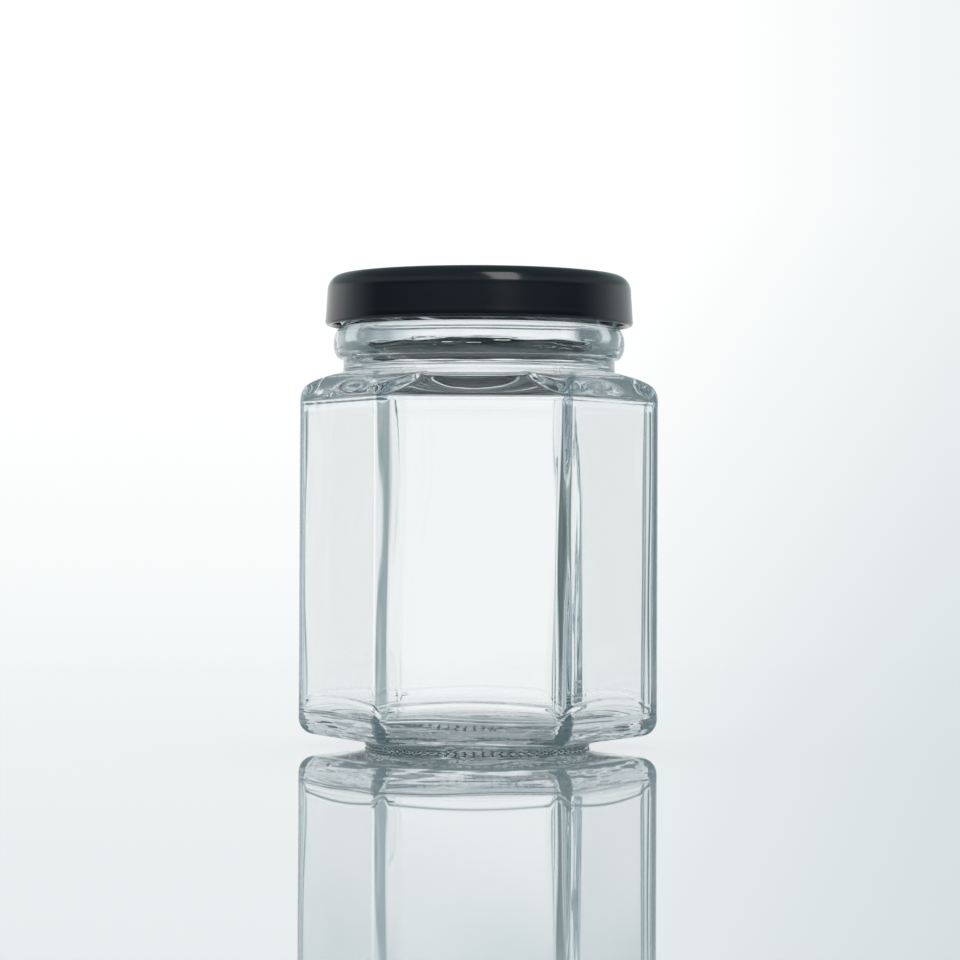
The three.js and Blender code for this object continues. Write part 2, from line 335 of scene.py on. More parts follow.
jar_glass = skinned("jar_glass", outside_rings() + mouth_rings() + inside_rings(),
                    FOOT_LIFT + PUSH_UP, FLOOR_LEVEL + FLOOR_MIDDLE)
print("glass", round(volume_cm3(jar_glass), 1), "cm3,", len(jar_glass.data.polygons), "faces")

# %% [markdown]
# Geometry Nodes trees are wired in the script, so a small helper keeps that short:
# it adds a node, sets what is a plain value and links what is a socket. The same
# helper wires the materials.

# %% A helper for wiring node trees


def add(tree, kind, values=(), **settings):
    made = tree.nodes.new(kind)
    for key, value in settings.items():
        setattr(made, key, value)
    for key, value in dict(values).items():
        socket = made.inputs[key]
        if isinstance(value, bpy.types.NodeSocket):
            tree.links.new(value, socket)
        else:
            socket.default_value = value
    return made


def math_node(tree, operation, a, b=0.0):
    return add(tree, "ShaderNodeMath", {0: a, 1: b}, operation=operation).outputs[0]


def new_tree(name, sockets):
    tree = bpy.data.node_groups.new(name, "GeometryNodeTree")
    tree.interface.new_socket("Geometry", in_out="INPUT", socket_type="NodeSocketGeometry")
    for label, kind in sockets:
        tree.interface.new_socket(label, in_out="INPUT", socket_type=kind)
    tree.interface.new_socket("Geometry", in_out="OUTPUT", socket_type="NodeSocketGeometry")
    return tree, tree.nodes.new("NodeGroupInput").outputs, tree.nodes.new("NodeGroupOutput").inputs


def run_tree(piece, tree, values):
    """Gives the piece the tree's result as a plain mesh."""
    modifier = piece.modifiers.new(tree.name, "NODES")
    modifier.node_group = tree
    for item in tree.interface.items_tree:
        if item.in_out == "INPUT" and item.name in values:
            modifier[item.identifier] = values[item.name]
    view = bpy.context.evaluated_depsgraph_get()
    made = bpy.data.meshes.new_from_object(piece.evaluated_get(view), depsgraph=view)
    piece.modifiers.remove(modifier)
    made.name = piece.name
    piece.data = made


print("helpers ready")

# %% [markdown]
# The glass is clear flint with a trace of grey-green that only shows where light
# runs a long way through it, at the corners and in the base. A surface colour can't
# do that, so the tint is in the volume. The surface has a faint ripple and fine
# lines drawn up the walls. Where the glass met colder metal, at the heel and the
# bead, it has stronger marks that run round the jar, and just above the heel is the
# trace of a mould seam. All of them are shallow, so a Bump node stands for them.

# %% Clear flint glass


def new_material(name):
    material = bpy.data.materials.new(name)
    material.use_nodes = True
    tree = material.node_tree
    return material, tree, tree.nodes["Principled BSDF"], tree.nodes["Material Output"]


def grain(tree, scale, detail=3.0, roughness=0.5, stretch=(1, 1, 1)):
    here = add(tree, "ShaderNodeTexCoord").outputs["Object"]
    turned = add(tree, "ShaderNodeMapping", {"Vector": here, "Scale": stretch}).outputs[0]
    return add(tree, "ShaderNodeTexNoise", {"Vector": turned, "Scale": scale, "Detail": detail,
                                            "Roughness": roughness}).outputs["Fac"]


def spread(tree, value, low, high, from_low=0.3, from_high=0.7):
    return add(tree, "ShaderNodeMapRange", {
        "Value": value, "From Min": from_low, "From Max": from_high,
        "To Min": low, "To Max": high}).outputs["Result"]


def soft_step(tree, value, from_low, from_high, low=0.0, high=1.0):
    ends = {"Value": value, "From Min": from_low, "From Max": from_high,
            "To Min": low, "To Max": high}
    return add(tree, "ShaderNodeMapRange", ends, interpolation_type="SMOOTHSTEP").outputs["Result"]


RIPPLE_HEIGHT = 0.03 * MM
DRAWN_LINES, HEEL_MARKS, BEAD_MARKS, SEAM = 1.2, 26.0, 15.0, 4.0  # against the ripple's height
HEEL_FADES, HEEL_FULL = 7.0 * MM, 4.0 * MM
BEAD_MARKS_FROM, BEAD_MARKS_TO = (73.5 * MM, 76.5 * MM), (80.0 * MM, 77.0 * MM)
SEAM_LEVEL, SEAM_HALF, SEAM_DRIFT = 6.7 * MM, 0.45 * MM, 0.4 * MM
flint, tree, surface, output = new_material("flint_glass")
surface.inputs["Base Color"].default_value = (1, 1, 1, 1)
surface.inputs["IOR"].default_value = 1.52
surface.inputs["Transmission Weight"].default_value = 1.0
ripple = grain(tree, 55, 2.0, stretch=(1, 1, 0.6))
drawn = math_node(tree, "MULTIPLY", grain(tree, 260, 2.0, stretch=(1, 1, 0.05)), DRAWN_LINES)
level = add(tree, "ShaderNodeSeparateXYZ",
            {0: add(tree, "ShaderNodeTexCoord").outputs["Object"]}).outputs["Z"]
at_heel = soft_step(tree, level, HEEL_FADES, HEEL_FULL)
at_bead = math_node(tree, "MULTIPLY", soft_step(tree, level, *BEAD_MARKS_FROM),
                    soft_step(tree, level, *BEAD_MARKS_TO))
marks = math_node(tree, "ADD", math_node(tree, "MULTIPLY", at_heel, HEEL_MARKS),
                  math_node(tree, "MULTIPLY", at_bead, BEAD_MARKS))
chill = math_node(tree, "MULTIPLY", grain(tree, 55, 2.0, stretch=(1, 1, 9)), marks)
drift = math_node(tree, "ADD", level, spread(tree, grain(tree, 40, 1.0), -SEAM_DRIFT, SEAM_DRIFT))
seam = math_node(tree, "MULTIPLY",
                 soft_step(tree, drift, SEAM_LEVEL - SEAM_HALF, SEAM_LEVEL, 0.0, SEAM),
                 soft_step(tree, drift, SEAM_LEVEL + SEAM_HALF, SEAM_LEVEL))
relief = math_node(tree, "ADD", math_node(tree, "ADD", ripple, drawn),
                   math_node(tree, "ADD", chill, seam))
bump = add(tree, "ShaderNodeBump", {"Height": relief, "Strength": 1.0, "Distance": RIPPLE_HEIGHT})
tree.links.new(bump.outputs[0], surface.inputs["Normal"])
smears = spread(tree, grain(tree, 38, 4.0, stretch=(1, 1, 0.5)), 0.0, 0.004, 0.5, 0.75)
tree.links.new(smears, surface.inputs["Roughness"])
tint = add(tree, "ShaderNodeVolumeAbsorption", {"Color": (0.40, 0.62, 0.69, 1), "Density": 8.0})
tree.links.new(tint.outputs[0], output.inputs["Volume"])
jar_glass.data.materials.append(flint)
print("made", flint.name)

# %% [markdown]
# Under the foot the mould leaves rows of small raised dots. They carry the jar, so
# the smooth glass is never scratched on the table. They repeat, so Geometry Nodes
# set them out: one flattened bead on each point of a circle, row after row.

# %% Dots under the foot
dots_tree, given, result = new_tree("foot_dot_row", [
    ("Row radius", "NodeSocketFloat"), ("Dots", "NodeSocketInt"), ("Height", "NodeSocketFloat"),
    ("Dot radius", "NodeSocketFloat"), ("Dot half height", "NodeSocketFloat"),
    ("Material", "NodeSocketMaterial")])
circle_row = add(dots_tree, "GeometryNodeMeshCircle", {"Vertices": given["Dots"],
                                                       "Radius": given["Row radius"]})
bead = add(dots_tree, "GeometryNodeMeshIcoSphere", {"Radius": 1.0, "Subdivisions": 2})
flat = add(dots_tree, "ShaderNodeCombineXYZ", {0: given["Dot radius"], 1: given["Dot radius"],
                                               2: given["Dot half height"]})
lift = add(dots_tree, "ShaderNodeCombineXYZ", {2: given["Height"]})
row = add(dots_tree, "GeometryNodeInstanceOnPoints", {
    "Points": circle_row.outputs["Mesh"], "Instance": bead.outputs["Mesh"],
    "Scale": flat.outputs[0]})
raised = add(dots_tree, "GeometryNodeTransform", {"Geometry": row.outputs[0],
                                                  "Translation": lift.outputs[0]})
real = add(dots_tree, "GeometryNodeRealizeInstances", {"Geometry": raised.outputs[0]})
smooth = add(dots_tree, "GeometryNodeSetShadeSmooth", {"Geometry": real.outputs[0]})
painted = add(dots_tree, "GeometryNodeSetMaterial", {"Geometry": smooth.outputs[0],
                                                     "Material": given["Material"]})
dots_tree.links.new(painted.outputs[0], result[0])


def empty_piece(name):
    piece = bpy.data.objects.new(name, bpy.data.meshes.new(name))
    bpy.context.scene.collection.objects.link(piece)
    return piece


def joined(name, parts):
    whole = bmesh.new()
    for part in parts:
        whole.from_mesh(part.data)
    mesh = bpy.data.meshes.new(name)
    whole.to_mesh(mesh)
    whole.free()
    mesh.materials.append(parts[0].data.materials[0])
    for part in parts:
        bpy.data.objects.remove(part)
    piece = bpy.data.objects.new(name, mesh)
    bpy.context.scene.collection.objects.link(piece)
    return piece


DOTS_IN_ROW, DOT_RADIUS, DOT_HALF = 76, 0.34, 0.20
DOT_ROWS = ((19.9, DOT_HALF), (20.9, DOT_HALF), (21.8, 0.40))  # radius and height of each row
rows = []
for radius, height in DOT_ROWS:
    row_piece = empty_piece("foot_row")
    run_tree(row_piece, dots_tree, {
        "Row radius": radius * MM, "Dots": DOTS_IN_ROW, "Height": height * MM,
        "Dot radius": DOT_RADIUS * MM, "Dot half height": DOT_HALF * MM, "Material": flint})
    rows.append(row_piece)
foot_dots = joined("foot_dots", rows)
print("foot dots", len(foot_dots.data.polygons), "faces")

# %% [markdown]
# The lid is pressed from thin steel: a panel that lies a little low, a rounded edge,
# a straight skirt and a rolled rim that is pinched in at four places to make lugs.
# It is round, so Geometry Nodes act as a lathe. A flat grid gets one row for each
# point of the section and is bent round the axis. Each section point also says how
# far it comes in at a lug.

# %% A lathe in Geometry Nodes
lathe, given, result = new_tree("lathe", [
    ("Steps around", "NodeSocketInt"), ("Lugs", "NodeSocketFloat"), ("Lug at", "NodeSocketFloat"),
    ("Lug half width", "NodeSocketFloat"), ("Inside points", "NodeSocketFloat"),
    ("Inside material", "NodeSocketMaterial"), ("Material", "NodeSocketMaterial")])
section_points = add(lathe, "GeometryNodeAttributeDomainSize", {"Geometry": given["Geometry"]})
rows_wanted = section_points.outputs["Point Count"]
columns = math_node(lathe, "ADD", given["Steps around"], 1.0)
sheet = add(lathe, "GeometryNodeMeshGrid", {"Size X": 1.0, "Size Y": 1.0,
                                            "Vertices X": rows_wanted, "Vertices Y": columns})
at = add(lathe, "ShaderNodeSeparateXYZ",
         {0: add(lathe, "GeometryNodeInputPosition").outputs[0]}).outputs
last_row = math_node(lathe, "SUBTRACT", rows_wanted, 1.0)
row_number = math_node(lathe, "ROUND", math_node(lathe, "MULTIPLY",
                                                 math_node(lathe, "ADD", at["X"], 0.5), last_row))
turn = math_node(lathe, "MULTIPLY", math_node(lathe, "ADD", at["Y"], 0.5), math.tau)


def section_value(kind, field):
    return add(lathe, "GeometryNodeSampleIndex", {"Geometry": given["Geometry"], "Value": field,
                                                  "Index": row_number},
               data_type=kind, domain="POINT").outputs[0]


section_at = add(lathe, "ShaderNodeSeparateXYZ", {0: section_value(
    "FLOAT_VECTOR", add(lathe, "GeometryNodeInputPosition").outputs[0])}).outputs
pull_field = add(lathe, "GeometryNodeInputNamedAttribute", {"Name": "lug_pull"}, data_type="FLOAT")
pull = section_value("FLOAT", pull_field.outputs[0])

# How far this point is from the middle of its lug, round the lid
pitch = math_node(lathe, "DIVIDE", math.tau, given["Lugs"])
past = math_node(lathe, "SUBTRACT", turn, given["Lug at"])
past = math_node(lathe, "ADD", past, math_node(lathe, "MULTIPLY", pitch, 4.5))
past = math_node(lathe, "SUBTRACT", math_node(lathe, "MODULO", past, pitch),
                 math_node(lathe, "MULTIPLY", pitch, 0.5))
away = math_node(lathe, "ABSOLUTE", past)
on_lug = add(lathe, "ShaderNodeMapRange", {
    "Value": math_node(lathe, "DIVIDE", away, given["Lug half width"]), "From Min": 0.75,
    "From Max": 1.25, "To Min": 1.0, "To Max": 0.0}, interpolation_type="SMOOTHSTEP").outputs[0]
radius = math_node(lathe, "SUBTRACT", section_at["X"], math_node(lathe, "MULTIPLY", pull, on_lug))
bent = add(lathe, "ShaderNodeCombineXYZ", {
    0: math_node(lathe, "MULTIPLY", radius, math_node(lathe, "COSINE", turn)),
    1: math_node(lathe, "MULTIPLY", radius, math_node(lathe, "SINE", turn)), 2: section_at["Z"]})
marked = add(lathe, "GeometryNodeStoreNamedAttribute", {
    "Geometry": sheet.outputs["Mesh"], "Name": "section_row", "Value": row_number},
             data_type="FLOAT", domain="POINT")
placed = add(lathe, "GeometryNodeSetPosition", {"Geometry": marked.outputs[0],
                                                "Position": bent.outputs[0]})
closed = add(lathe, "GeometryNodeMergeByDistance", {"Geometry": placed.outputs[0],
                                                    "Distance": 1e-6})
real = add(lathe, "GeometryNodeRealizeInstances", {"Geometry": closed.outputs[0]})
smooth = add(lathe, "GeometryNodeSetShadeSmooth", {"Geometry": real.outputs[0]})
painted = add(lathe, "GeometryNodeSetMaterial", {"Geometry": smooth.outputs[0],
                                                 "Material": given["Material"]})
row_field = add(lathe, "GeometryNodeInputNamedAttribute", {"Name": "section_row"},
                data_type="FLOAT")
is_inside = math_node(lathe, "LESS_THAN", row_field.outputs[0], given["Inside points"])
lined = add(lathe, "GeometryNodeSetMaterial", {
    "Geometry": painted.outputs[0], "Selection": is_inside, "Material": given["Inside material"]})
lathe.links.new(lined.outputs[0], result[0])
print("the lathe has", len(lathe.nodes), "nodes")


def turned(name, section, pulls, material, steps=240, lugs=4.0, lug_at=0.0, lug_half=0.1,
           inside_points=0, inside_material=None):
    """section is [(radius, z)] in millimetres, and pulls one number for each point."""
    mesh = bpy.data.meshes.new(name)
    points = [(r * MM, 0.0, z * MM) for r, z in section]
    mesh.from_pydata(points, [(n, n + 1) for n in range(len(points) - 1)], [])
    pull_layer = mesh.attributes.new("lug_pull", "FLOAT", "POINT")
    pull_layer.data.foreach_set("value", [p * MM for p in pulls])
    piece = bpy.data.objects.new(name, mesh)
    bpy.context.scene.collection.objects.link(piece)
    run_tree(piece, lathe, {"Steps around": steps, "Lugs": lugs, "Lug at": lug_at,
                            "Lug half width": lug_half, "Material": material,
                            "Inside points": float(inside_points),
                            "Inside material": inside_material or material})
    if volume_cm3(piece) < 0:
        piece.data.flip_normals()
    return piece


# %% [markdown]
# The lid's lacquer is black with a trace of blue and a satin gloss. A close look
# shows the fine skin of baked lacquer, slightly duller patches from handling, and
# small bright rubs on the rolled rim. All of it stays faint, because the lid is new.

# %% Black lid lacquer
RUBS_FULL, RUBS_END = 82.75 * MM, 83.5 * MM
lacquer, tree, surface, _ = new_material("black_lid_lacquer")
cloud = grain(tree, 70, 4.0)
shade = add(tree, "ShaderNodeMix", {"Factor": cloud, "A": (0.0045, 0.0062, 0.0105, 1),
                                    "B": (0.0070, 0.0095, 0.0150, 1)}, data_type="RGBA")
rub = grain(tree, 420, 5.0, 0.7, stretch=(1, 1, 3))
height = add(tree, "ShaderNodeSeparateXYZ",
             {0: add(tree, "ShaderNodeTexCoord").outputs["Object"]}).outputs["Z"]
low_edge = spread(tree, height, 1.0, 0.0, RUBS_FULL, RUBS_END)
rubbed = math_node(tree, "MULTIPLY", spread(tree, rub, 0.0, 0.35, 0.58, 0.72), low_edge)
worn = add(tree, "ShaderNodeMix", {"Factor": rubbed, "A": shade.outputs["Result"],
                                   "B": (0.16, 0.165, 0.17, 1)}, data_type="RGBA")
tree.links.new(worn.outputs["Result"], surface.inputs["Base Color"])
tree.links.new(spread(tree, grain(tree, 45, 3.0), 0.12, 0.17), surface.inputs["Roughness"])
skin_bump = add(tree, "ShaderNodeBump", {"Height": grain(tree, 1500, 2.0), "Strength": 0.06,
                                         "Distance": 0.00004})
tree.links.new(skin_bump.outputs[0], surface.inputs["Normal"])
print("made", lacquer.name)

# %% [markdown]
# The inside of such a lid is coated too, in a lacquer that honey can't attack. It
# shows through the glass of the mouth and gives the bead and the shoulder their
# tone. The grey is partly the lining's own lacquer and partly painted shade: it is
# kept darker than a pale coat, so the inside of the lid reads as shaded through the
# glass. White would glare there and black would make a dark pool.

# %% Grey lacquer inside the lid, darkened as painted shade
lining_with_painted_shade, tree, surface, _ = new_material("grey_lid_lining_painted_shade")
# These two greys are the lining's tone, kept dark as painted shade for the inside of the lid
shade = add(tree, "ShaderNodeMix", {"Factor": grain(tree, 90, 4.0), "A": (0.17, 0.215, 0.235, 1),
                                    "B": (0.22, 0.27, 0.29, 1)}, data_type="RGBA")
tree.links.new(shade.outputs["Result"], surface.inputs["Base Color"])
tree.links.new(spread(tree, grain(tree, 60, 3.0), 0.25, 0.38), surface.inputs["Roughness"])
fine = add(tree, "ShaderNodeBump", {"Height": grain(tree, 1500, 2.0), "Strength": 0.08,
                                    "Distance": 0.00004})
tree.links.new(fine.outputs[0], surface.inputs["Normal"])
print("made", lining_with_painted_shade.name)

# %% [markdown]
# The section of the lid is drawn once, from the middle of the underside, out and
# down inside the skirt, round the rolled rim, up the outside and back to the middle
# of the top. Bends get several points each, so the turned lid has soft edges. The
# skirt leans in a little, so that it doesn't mirror the same thing from end to end.

# %% The lid
LID_BOTTOM, LID_TOP, LID_RADIUS, LID_SHEET = 82.7, 92.6, 30.2, 0.45
LID_EDGE_IN, LID_EDGE_DOWN = 2.9, 3.2
SKIRT_LOW = 84.2
SKIRT_OUT, SKIRT_LEAN = 0.07, 0.32  # out past LID_RADIUS at its foot, and in again on its way up
PANEL_RADIUS, PANEL_DROP, PANEL_STEP = 22.6, 0.35, 0.9
CURL_RADIUS, CURL_THICK = 30.33, 1.5
CURL_FROM, CURL_TO = 160, 363  # degrees, from the inside of the skirt round to its outside
LUG_REACH, LUG_AT, LUG_HALF = 27.8, 40, 6.5
STEP_POINTS = 9


def panel_step(outwards, inset):
    """The soft step between the low panel and the raised ring round it."""
    made = []
    for t in np.linspace(0, 1, STEP_POINTS):
        soft = t * t * (3 - 2 * t)
        made.append((PANEL_RADIUS + PANEL_STEP * t, LID_TOP - inset - PANEL_DROP * (1 - soft)))
    return made if outwards else made[::-1]


def lid_edge(a, inset):
    out = LID_EDGE_IN + SKIRT_OUT - SKIRT_LEAN - inset
    return (LID_RADIUS - LID_EDGE_IN + out * math.sin(a),
            LID_TOP - LID_EDGE_DOWN + (LID_EDGE_DOWN - inset) * math.cos(a))


def skirt(z, inset):
    up = (z - SKIRT_LOW) / (LID_TOP - LID_EDGE_DOWN - SKIRT_LOW)
    return LID_RADIUS + SKIRT_OUT - SKIRT_LEAN * up - inset, z


def lid_section():
    flat_low = LID_TOP - PANEL_DROP - LID_SHEET
    flat_high = LID_TOP - PANEL_DROP
    points = [(r, flat_low) for r in np.linspace(0, PANEL_RADIUS - 0.5, 8)]
    points += panel_step(True, LID_SHEET)
    points += [(r, LID_TOP - LID_SHEET) for r in (24.4, 25.9, 27.0)]
    points += [lid_edge(a, LID_SHEET) for a in np.radians(np.linspace(0, 90, 12))]
    points += [skirt(z, LID_SHEET) for z in (88.6, 87.5, 86.2, 85.2)]
    pulls = [0.0] * len(points)
    inside = len(points)
    curl = CURL_THICK / 2
    middle = CURL_RADIUS - curl
    for turn_at in np.linspace(CURL_FROM, CURL_TO, 22):
        a = math.radians(turn_at)
        radius = middle + curl * math.cos(a)
        points.append((radius, LID_BOTTOM + curl + curl * math.sin(a)))
        inner = min(max((250 - turn_at) / 50, 0.0), 1.0)
        pulls.append(max(radius - LUG_REACH, 0.0) * inner ** 0.7)
    outside = [skirt(z, 0.0) for z in (84.3, 84.9, 85.6, 86.6, 87.6, 88.6)]
    outside += [lid_edge(a, 0.0) for a in np.radians(np.linspace(90, 0, 18))]
    outside += [(r, LID_TOP) for r in (26.6, 25.2, 24.2)]
    outside += panel_step(False, 0.0)
    outside += [(r, flat_high) for r in np.linspace(PANEL_RADIUS - 0.5, 0, 8)]
    return points + outside, pulls + [0.0] * len(outside), inside


section, pulls, inside = lid_section()
lid_shell = turned("lid_shell", section, pulls, lacquer, lug_at=math.radians(LUG_AT),
                   lug_half=math.radians(LUG_HALF), inside_points=inside, inside_material=lining_with_painted_shade)
print("lid", round(volume_cm3(lid_shell), 2), "cm3,", len(lid_shell.data.polygons), "faces")

# %% [markdown]
# Inside the lid a ring of soft compound is poured in the channel and pressed on the
# rim, which leaves a shallow groove. It hardly shows through the glass, but anyone
# who opens the lid would see it. The same lathe turns it.

# %% The seal
compound, tree, surface, _ = new_material("seal_compound")
mottle = add(tree, "ShaderNodeMix", {"Factor": grain(tree, 300, 4.0), "A": (0.56, 0.55, 0.50, 1),
                                     "B": (0.70, 0.68, 0.61, 1)}, data_type="RGBA")
tree.links.new(mottle.outputs["Result"], surface.inputs["Base Color"])
tree.links.new(spread(tree, grain(tree, 500, 3.0), 0.45, 0.62), surface.inputs["Roughness"])
dimples = add(tree, "ShaderNodeBump", {"Height": grain(tree, 2200, 2.0), "Strength": 0.15,
                                       "Distance": 0.00005})
tree.links.new(dimples.outputs[0], surface.inputs["Normal"])
surface.inputs["Subsurface Weight"].default_value = 0.1
surface.inputs["Subsurface Scale"].default_value = 0.001

SEAL_INNER, SEAL_OUTER, SEAL_LOW, SEAL_HIGH = 23.4, 27.6, 91.3, 91.95


def seal_section():
    points = [(SEAL_INNER + 0.25, SEAL_LOW)]
    for t in np.linspace(0.1, 0.9, 14):
        groove = 0.22 * math.exp(-((t - 0.5) / 0.16) ** 2)
        points.append((SEAL_INNER + (SEAL_OUTER - SEAL_INNER) * t, SEAL_LOW + groove))
    points += [(SEAL_OUTER - 0.2, SEAL_LOW), (SEAL_OUTER - 0.05, SEAL_LOW + 0.08),
               (SEAL_OUTER, SEAL_LOW + 0.2), (SEAL_OUTER, SEAL_HIGH - 0.1),
               (SEAL_OUTER - 0.1, SEAL_HIGH), (SEAL_INNER + 0.1, SEAL_HIGH),
               (SEAL_INNER, SEAL_HIGH - 0.1), (SEAL_INNER, SEAL_LOW + 0.2),
               (SEAL_INNER + 0.08, SEAL_LOW + 0.05), (SEAL_INNER + 0.25, SEAL_LOW)]
    return points


section = seal_section()
seal_ring = turned("seal_ring", section, [0.0] * len(section), compound)
print("seal", round(volume_cm3(seal_ring), 2), "cm3")

# %% [markdown]
# The table is a pale polished board. Seen this low, its gloss works almost like a
# mirror, so the jar stands on its own reflection. It fades out some way from the
# jar, so no table edge and no horizon shows, beside the jar or through its glass.
# The glass gathers light on the board under it. That takes Cycles very long to
# find, so the board glows a little there, for rays that came through glass only.

# %% The table
BOARD_GLOW, GLOW_FULL, GLOW_ENDS = 0.25, 24 * MM, 36 * MM
board, tree, surface, _ = new_material("pale_polished_board")
tone = add(tree, "ShaderNodeMix", {"Factor": grain(tree, 3, 2.0), "A": (0.88, 0.90, 0.915, 1),
                                   "B": (0.92, 0.935, 0.95, 1)}, data_type="RGBA")
tree.links.new(tone.outputs["Result"], surface.inputs["Base Color"])
tree.links.new(spread(tree, grain(tree, 12, 3.0), 0.012, 0.03), surface.inputs["Roughness"])
surface.inputs["IOR"].default_value = 1.55
surface.inputs["Metallic"].default_value = 0.55
FADE_STARTS, FADE_ENDS, HALF_TABLE = 0.26, 0.42, 0.45
from_jar = add(tree, "ShaderNodeVectorMath",
               {0: add(tree, "ShaderNodeTexCoord").outputs["Object"]},
               operation="LENGTH").outputs["Value"]
tree.links.new(soft_step(tree, from_jar, FADE_ENDS, FADE_STARTS), surface.inputs["Alpha"])
behind_glass = math_node(tree, "GREATER_THAN",
                         add(tree, "ShaderNodeLightPath").outputs["Transmission Depth"], 0.5)
glow = math_node(tree, "MULTIPLY", behind_glass,
                 soft_step(tree, from_jar, GLOW_ENDS, GLOW_FULL, 0.0, BOARD_GLOW))
surface.inputs["Emission Color"].default_value = (0.90, 0.97, 1.0, 1)
tree.links.new(glow, surface.inputs["Emission Strength"])
table_mesh = bpy.data.meshes.new("table")
table_mesh.from_pydata([(-HALF_TABLE, -HALF_TABLE, 0), (HALF_TABLE, -HALF_TABLE, 0),
                        (HALF_TABLE, HALF_TABLE, 0), (-HALF_TABLE, HALF_TABLE, 0)],
                       [], [(0, 1, 2, 3)])
table_mesh.materials.append(board)
table = bpy.data.objects.new("table", table_mesh)
bpy.context.scene.collection.objects.link(table)
print("made", table.name)

# %% [markdown]
# The room is a light tent. Four pale panels stand round the jar, straight ahead of
# the camera, behind it and at both sides. Four weaker ones stand between them, with
# grey gaps left and right of each. Straight through a flat side the eye meets a pale
# panel. The corners, heel and shoulder bend the view sideways to the gaps, and that
# draws their grey lines. Higher up the gaps go darker.

# %% The tent, as rays through glass meet it
world = bpy.data.worlds.new("light_tent")
world.use_nodes = True
bpy.context.scene.world = world
tree = world.node_tree
tree.nodes.clear()
way = add(tree, "ShaderNodeSeparateXYZ",
          {0: add(tree, "ShaderNodeTexCoord").outputs["Generated"]}).outputs
PANEL_TONE, SIDE_PANEL, GAP_TONE, GAP_SWING = 0.965, 0.65, 0.28, 0.14
MAIN_EDGE, WEAK_EDGE = (0.56, 0.91), (-0.77, -0.96)  # where each panel fades in, along swing
PANEL_TOP, ROOF, ROOF_TONE = (0.25, 0.10), (0.15, 0.40), 0.55
turned_way = math_node(tree, "MULTIPLY", math_node(tree, "ARCTAN2", way["X"], way["Y"]), 4.0)
swing = math_node(tree, "COSINE", turned_way)
main_panels = soft_step(tree, swing, *MAIN_EDGE)
weak_panels = soft_step(tree, swing, *WEAK_EDGE, 0.0, SIDE_PANEL)
low_sky = soft_step(tree, way["Z"], *PANEL_TOP)
all_panels = math_node(tree, "MAXIMUM", main_panels, weak_panels)
panels = math_node(tree, "MULTIPLY", all_panels, low_sky)
gap = math_node(tree, "MULTIPLY", math_node(tree, "SINE", turned_way), -GAP_SWING)
gap = math_node(tree, "ADD", math_node(tree, "MULTIPLY", gap, low_sky), GAP_TONE)
roof = soft_step(tree, way["Z"], *ROOF, 1.0, ROOF_TONE)
gap = math_node(tree, "MULTIPLY", gap, roof)
tent = add(tree, "ShaderNodeMix", {"Factor": panels, "A": gap, "B": PANEL_TONE}).outputs[0]
print("tent tones", PANEL_TONE, GAP_TONE)

# %% [markdown]
# A real set looks different from each place in it, but a world has one picture for
# all of them. The Light Path node makes up for that: it says what a ray did last, so
# the world can show the backdrop to the camera, the tent to rays that leave glass, a
# dimmer room to the lid's gloss, and a pale ceiling to a table seen through glass.

# %% The room, as each kind of ray meets it
CEILING, CEILING_TONE = (0.14, 0.28), 0.75
EVEN_LIGHT, LIFTED_TONE, HIGH_TONE = 0.55, 0.5, 0.3


def blend(factor, first, second):
    return add(tree, "ShaderNodeMix", {"Factor": factor, "A": first, "B": second}).outputs[0]


pale_high = math_node(tree, "MAXIMUM", all_panels,
                      soft_step(tree, way["Z"], *CEILING, 0.0, CEILING_TONE))
mirrored = blend(pale_high, gap, PANEL_TONE)
dim_right = spread(tree, way["X"], 1.0, 0.85, 0.0, 0.125)
backdrop = math_node(tree, "MULTIPLY", dim_right,
                     spread(tree, way["Z"], 0.84, 1.07, -0.145, 0.106))
dim_side = math_node(tree, "MULTIPLY", dim_right,
                     spread(tree, way["Y"], 0.05, 0.96, -0.15, 0.55))
gloss = blend(spread(tree, way["Z"], 0.0, 1.0, 0.15, 0.25), dim_side, LIFTED_TONE)
gloss = blend(spread(tree, way["Z"], 0.0, 1.0, 0.45, 0.6), gloss, HIGH_TONE)

# Rays that leave glass count as glossy too, so what they see is chosen after that
ray = add(tree, "ShaderNodeLightPath").outputs
level = blend(ray["Is Glossy Ray"], EVEN_LIGHT, gloss)
behind_glass = math_node(tree, "GREATER_THAN", ray["Transmission Depth"], 0.5)
level = blend(behind_glass, level, blend(ray["Is Diffuse Ray"], mirrored, PANEL_TONE))
level = blend(ray["Is Transmission Ray"], level, tent)
level = blend(ray["Is Camera Ray"], level, backdrop)
colour = add(tree, "ShaderNodeMix", {"Factor": level, "A": (0.64, 0.97, 1.03, 1),
                                     "B": (0.995, 0.998, 1.0, 1)}, data_type="RGBA")
glow = add(tree, "ShaderNodeBackground", {"Color": colour.outputs["Result"], "Strength": level})
add(tree, "ShaderNodeOutputWorld", {"Surface": glow.outputs[0]})
print("the room has", len(tree.nodes), "nodes")

# %% [markdown]
# Two soft lights work inside the tent. One hangs high on the camera's right and
# leaves the short highlight on the lid's rounded edge. Light linking keeps it to the
# lid, because the glass bead would show it as a hard rectangle. The other is wide
# and overhead. It lifts the table and the lid, and mirrors and glass don't show it.

# %% Lights
LIGHTS_AIM = 80 * MM  # both lights aim at this height over the table


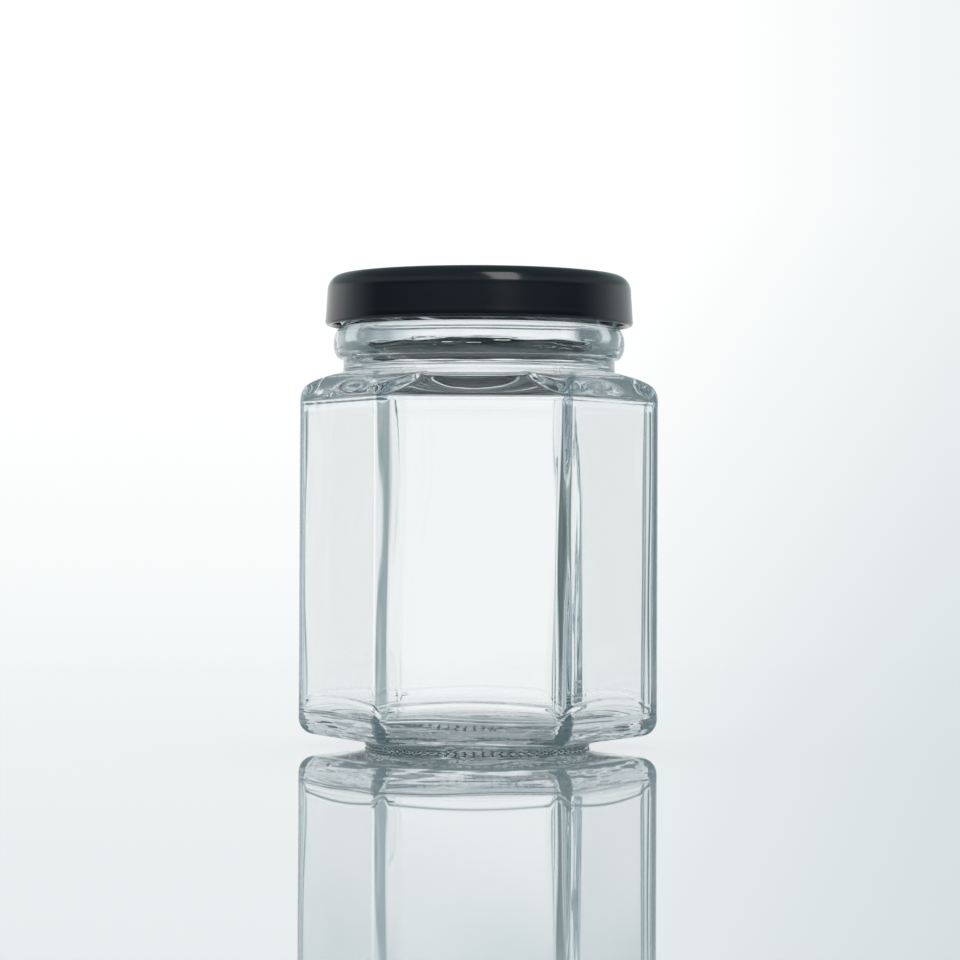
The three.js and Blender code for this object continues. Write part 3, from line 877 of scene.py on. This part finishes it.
def soft_light(name, azimuth, elevation, distance, width, tall, brightness):
    """Azimuth is counted from the camera's side (-Y) towards +X, in degrees."""
    a, e = math.radians(azimuth), math.radians(elevation)
    aim_at = Vector((0, 0, LIGHTS_AIM))
    from_aim = Vector((math.sin(a) * math.cos(e), -math.cos(a) * math.cos(e), math.sin(e)))
    place = aim_at + from_aim * distance
    data = bpy.data.lights.new(name, "AREA")
    data.shape = "RECTANGLE"
    data.size, data.size_y = width, tall
    data.energy = brightness * math.pi * width * tall
    light = bpy.data.objects.new(name, data)
    light.location = place
    light.rotation_euler = (aim_at - place).to_track_quat("-Z", "Y").to_euler()
    bpy.context.scene.collection.objects.link(light)
    return light


edge_light = soft_light("edge_light", azimuth=22.0, elevation=37, distance=1.2,
                        width=0.42, tall=0.95, brightness=3.6)
overhead_light = soft_light("overhead_light", azimuth=180, elevation=70, distance=1.6,
                            width=1.2, tall=0.8, brightness=1.2)
overhead_light.visible_transmission = False
overhead_light.visible_glossy = False
only_lid = bpy.data.collections.new("lit_by_edge_light")
only_lid.objects.link(lid_shell)
edge_light.light_linking.receiver_collection = only_lid

# %% [markdown]
# The camera stands level with the middle of the jar, about 59 cm away and a little
# to the right, with a long lens, so the sides stay nearly upright. It tips up by less
# than a degree, which leaves room for the reflection. Light that is caught in the
# corners of the glass bounces there many times, and black spots show where Cycles
# gives up too early, so it gets more bounces than usual.

# %% Camera
DISTANCE, HEIGHT, ASIDE = 0.590, 0.0451, 0.0003
SIDE_TURN, TIP_UP, ROLL = 1.7, 0.71, 0.25
BOUNCES = 64
camera_data = bpy.data.cameras.new("camera")
camera_data.lens = 112.1
camera_data.sensor_width = 36.0
camera_data.clip_end = 50
camera = bpy.data.objects.new("camera", camera_data)
side_turn = math.radians(SIDE_TURN)
camera.location = (DISTANCE * math.sin(side_turn) + ASIDE, -DISTANCE * math.cos(side_turn), HEIGHT)
upright = Euler((math.radians(90 + TIP_UP), 0, side_turn)).to_matrix()
camera.rotation_euler = (upright @ Matrix.Rotation(math.radians(ROLL), 3, "Z")).to_euler()
bpy.context.scene.collection.objects.link(camera)
bpy.context.scene.camera = camera
bpy.context.scene.view_settings.view_transform = "Standard"
cycles = bpy.context.scene.cycles
cycles.max_bounces = cycles.transmission_bounces = cycles.glossy_bounces = BOUNCES
print("lens", camera_data.lens, "mm")

# %% [markdown]
# Last, each piece is hung on the body that carries it, and the CAD solids that the
# pieces replace are hidden.

# %% Ties to the frame
for piece, finish in ((jar_glass, "glass"), (foot_dots, "glass"), (lid_shell, "lid_lacquer"),
                      (seal_ring, "seal_compound")):
    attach(piece, "root")
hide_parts("jar")
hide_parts("lid")
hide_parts("seal")
